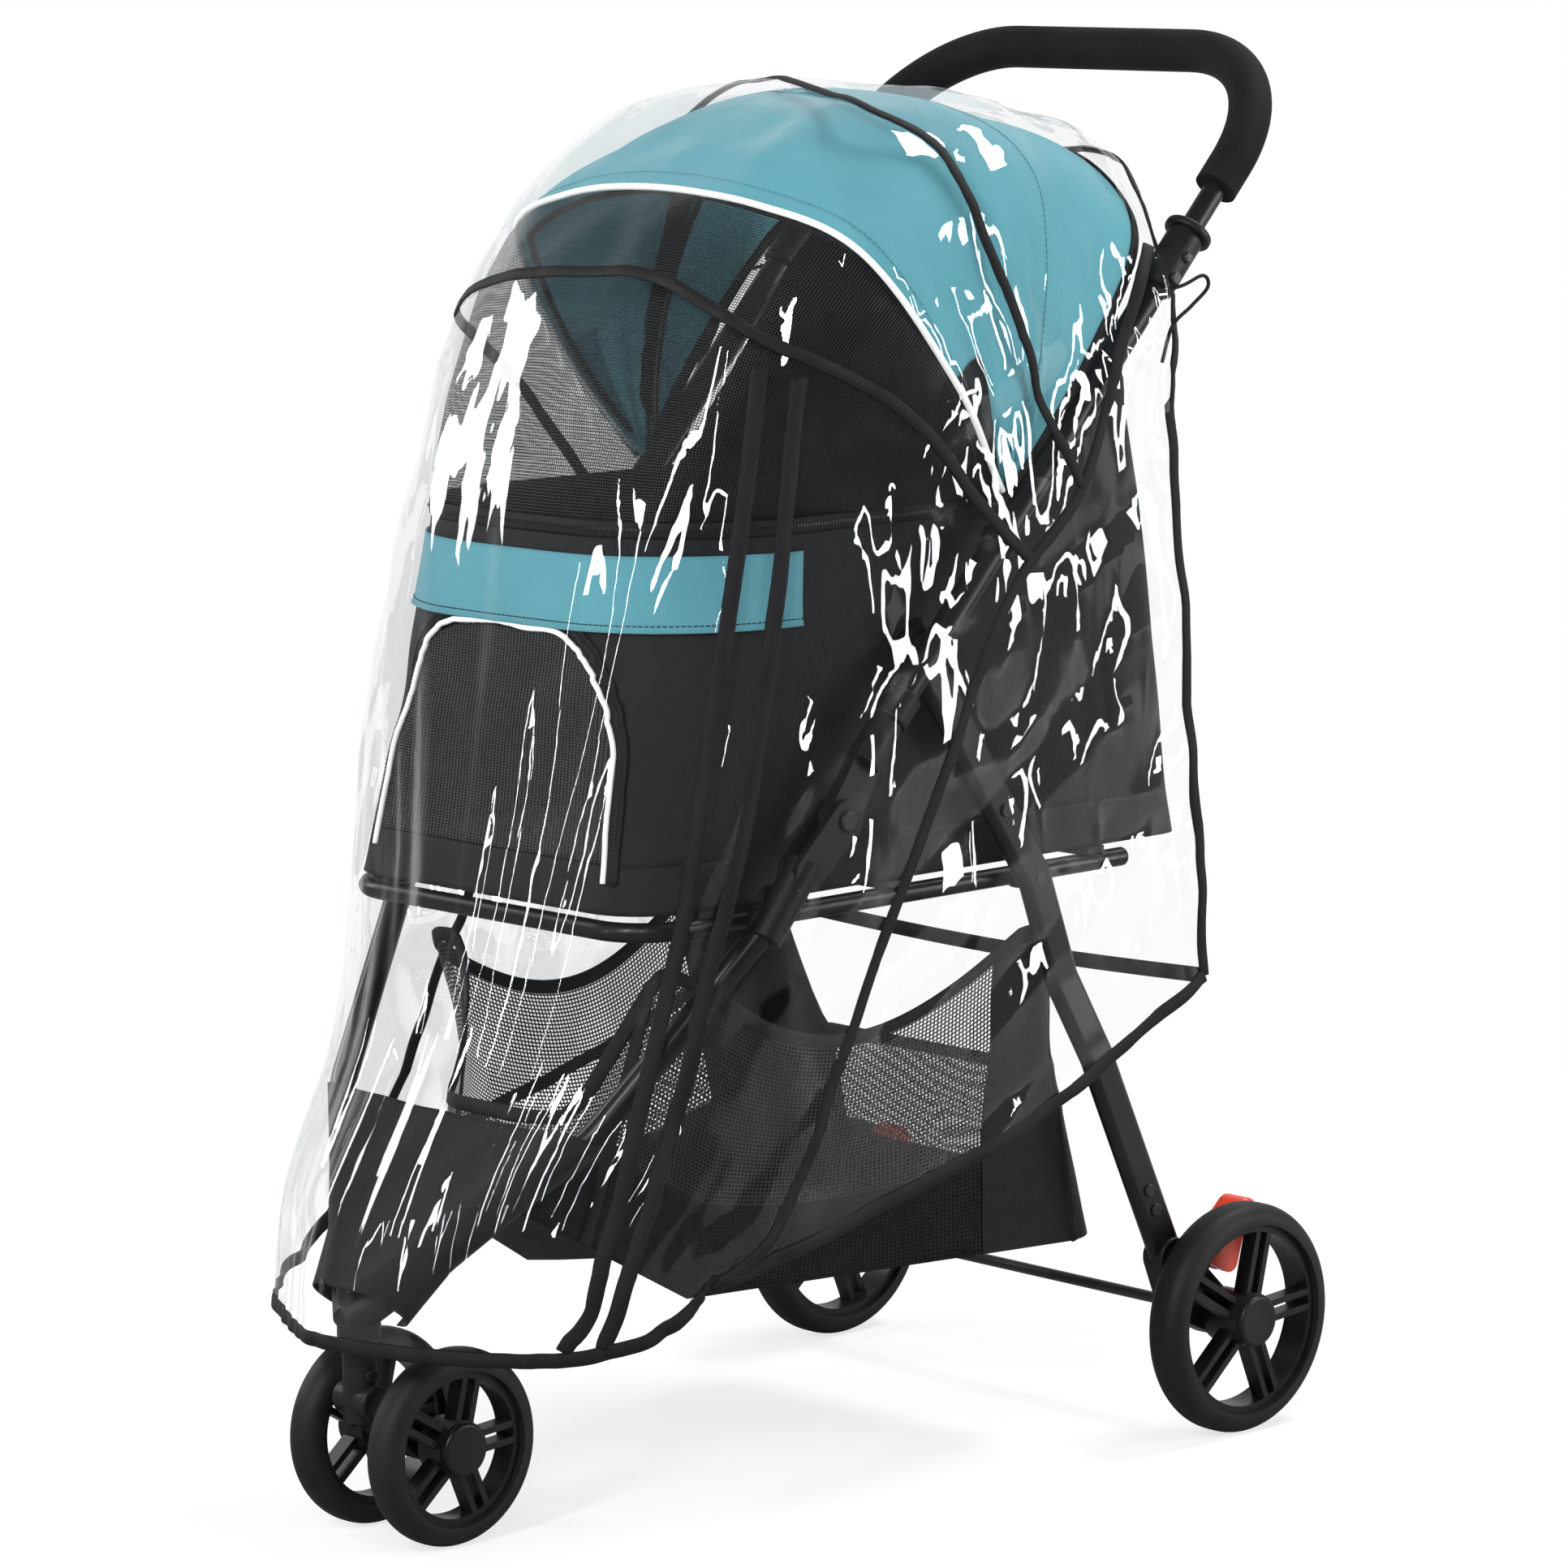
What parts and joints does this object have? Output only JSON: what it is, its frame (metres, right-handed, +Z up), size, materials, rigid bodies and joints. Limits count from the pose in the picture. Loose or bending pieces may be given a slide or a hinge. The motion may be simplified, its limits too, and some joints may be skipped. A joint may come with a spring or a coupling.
{
  "type": "pet stroller",
  "caption": "Folding pet stroller with a zipped cloth cabin, net front, hooped canopy, swivelling twin front wheels, foot brakes, basket and a clear rain cover.",
  "frame": {"origin": "on the floor, under the middle of the overall box", "axes": "+Z up, the front wheels point to -Y, the push handle is towards +Y, +X is the stroller's left"},
  "size_m": [0.449, 0.739, 0.97],
  "materials": {
    "frame": "satin black paint on steel tube",
    "steel": "zinc plated",
    "moulding": "fine moulded grain",
    "wheel_moulding": "moulded satin",
    "tread": "solid foam tyre",
    "foam": "closed-cell foam",
    "brake": "moulded gloss",
    "black_cloth": "coated plain weave",
    "mat_cloth": "quilted cloth",
    "net": "open net",
    "teal_cloth": "coated plain weave",
    "film": "clear soft film with black bindings"
  },
  "bodies": {
    "carriage": {"base_tube": "frame", "base_end_caps": "moulding", "base_cross_bars": "frame", "base_pivots": "steel", "floor_board": "moulding", "cabin_mat": "mat_cloth", "cabin_shell": "black_cloth", "mesh_screen": "net", "canopy": "teal_cloth", "canopy_hoops": "steel", "basket": "black_cloth", "rain_cover": "film"},
    "door": {"front_door": "black_cloth"},
    "front_frame": {"front_leg_left": "frame", "front_leg_right": "frame", "leg_clevis_left": "moulding", "leg_clevis_right": "moulding", "fold_pins": "steel", "front_head": "moulding", "front_panel": "black_cloth"},
    "handle_frame": {"upper_tube_left": "frame", "upper_tube_right": "frame", "joint_tongue_left": "moulding", "joint_tongue_right": "moulding", "handle_collar_left": "moulding", "handle_collar_right": "moulding", "handle_tube": "frame", "handle_grip": "foam", "handle_bolts": "steel", "canopy_clips": "moulding"},
    "rear_frame": {"rear_leg_left": "frame", "rear_leg_right": "frame", "leg_rivets": "steel", "rear_axle": "steel", "axle_bracket_left": "moulding", "axle_bracket_right": "moulding"},
    "caster": {"caster_fork": "moulding", "caster_stem": "steel", "front_axle": "steel"},
    "caster_release": {"caster_button": "moulding"},
    "front_wheel_left": {"front_tyre_left": "tread", "front_rim_left": "wheel_moulding", "front_cap_left": "wheel_moulding"},
    "rear_wheel_left": {"rear_tyre_left": "tread", "rear_rim_left": "wheel_moulding", "rear_cap_left": "wheel_moulding"},
    "brake_left": {"brake_pedal_left": "brake"},
    "snap_left": {"handle_button_left": "steel"},
    "latch_left": {"fold_latch_left": "moulding"},
    "front_wheel_right": {"front_tyre_right": "tread", "front_rim_right": "wheel_moulding", "front_cap_right": "wheel_moulding"},
    "rear_wheel_right": {"rear_tyre_right": "tread", "rear_rim_right": "wheel_moulding", "rear_cap_right": "wheel_moulding"},
    "brake_right": {"brake_pedal_right": "brake"},
    "snap_right": {"handle_button_right": "steel"},
    "latch_right": {"fold_latch_right": "moulding"}
  },
  "joints": [
    {"name": "frame_fold", "type": "hinge", "parent": "carriage", "child": "front_frame", "pos_m": [0, -0.1335, 0.408], "axis": [1, 0, 0], "range_deg": [0, 100], "deforming": ["rain_cover", "basket"]},
    {"name": "handle_fold", "type": "hinge", "parent": "front_frame", "child": "handle_frame", "pos_m": [0, -0.08805, 0.47204], "axis": [1, 0, 0], "range_deg": [-131.62, 0]},
    {"name": "rear_fold", "type": "hinge", "parent": "carriage", "child": "rear_frame", "pos_m": [0, 0.1105, 0.408], "axis": [1, 0, 0], "range_deg": [0, 34.18]},
    {"name": "door_swing", "type": "hinge", "parent": "carriage", "child": "door", "pos_m": [0, -0.22548, 0.45], "axis": [-1, 0, 0], "range_deg": [0, 75]},
    {"name": "caster_swivel", "type": "hinge", "parent": "front_frame", "child": "caster", "pos_m": [0, -0.3465, 0.154], "axis": [0, 0, 1], "continuous": true},
    {"name": "caster_release_press", "type": "slide", "parent": "caster", "child": "caster_release", "axis": [-1, 0, 0], "range_m": [0, 0.0018], "stiffness_N_per_m": 400},
    {"name": "front_wheel_left_spin", "type": "hinge", "parent": "caster", "child": "front_wheel_left", "pos_m": [0.04, -0.3035, 0.066], "axis": [1, 0, 0], "continuous": true},
    {"name": "rear_wheel_left_spin", "type": "hinge", "parent": "rear_frame", "child": "rear_wheel_left", "pos_m": [0.204, 0.2765, 0.081], "axis": [1, 0, 0], "continuous": true},
    {"name": "brake_left_press", "type": "hinge", "parent": "rear_frame", "child": "brake_left", "pos_m": [0.178, 0.2695, 0.124], "axis": [-1, 0, 0], "range_deg": [0, 22]},
    {"name": "snap_left_press", "type": "slide", "parent": "handle_frame", "child": "snap_left", "axis": [-1, 0, 0], "range_m": [0, 0.004], "stiffness_N_per_m": 400},
    {"name": "latch_left_slide", "type": "slide", "parent": "handle_frame", "child": "latch_left", "axis": [0, 0.6845, 0.729], "range_m": [0, 0.012], "stiffness_N_per_m": 300},
    {"name": "front_wheel_right_spin", "type": "hinge", "parent": "caster", "child": "front_wheel_right", "pos_m": [-0.04, -0.3035, 0.066], "axis": [1, 0, 0], "continuous": true},
    {"name": "rear_wheel_right_spin", "type": "hinge", "parent": "rear_frame", "child": "rear_wheel_right", "pos_m": [-0.204, 0.2765, 0.081], "axis": [1, 0, 0], "continuous": true},
    {"name": "brake_right_press", "type": "hinge", "parent": "rear_frame", "child": "brake_right", "pos_m": [-0.178, 0.2695, 0.124], "axis": [-1, 0, 0], "range_deg": [0, 22]},
    {"name": "snap_right_press", "type": "slide", "parent": "handle_frame", "child": "snap_right", "axis": [1, 0, 0], "range_m": [0, 0.004], "stiffness_N_per_m": 400},
    {"name": "latch_right_slide", "type": "slide", "parent": "handle_frame", "child": "latch_right", "axis": [0, 0.6845, 0.729], "range_m": [0, 0.012], "stiffness_N_per_m": 300}
  ],
  "couplings": [
    {"joint": "handle_fold", "follows": "frame_fold", "ratio": -1.3102},
    {"joint": "rear_fold", "follows": "frame_fold", "ratio": 0.33778}
  ]
}
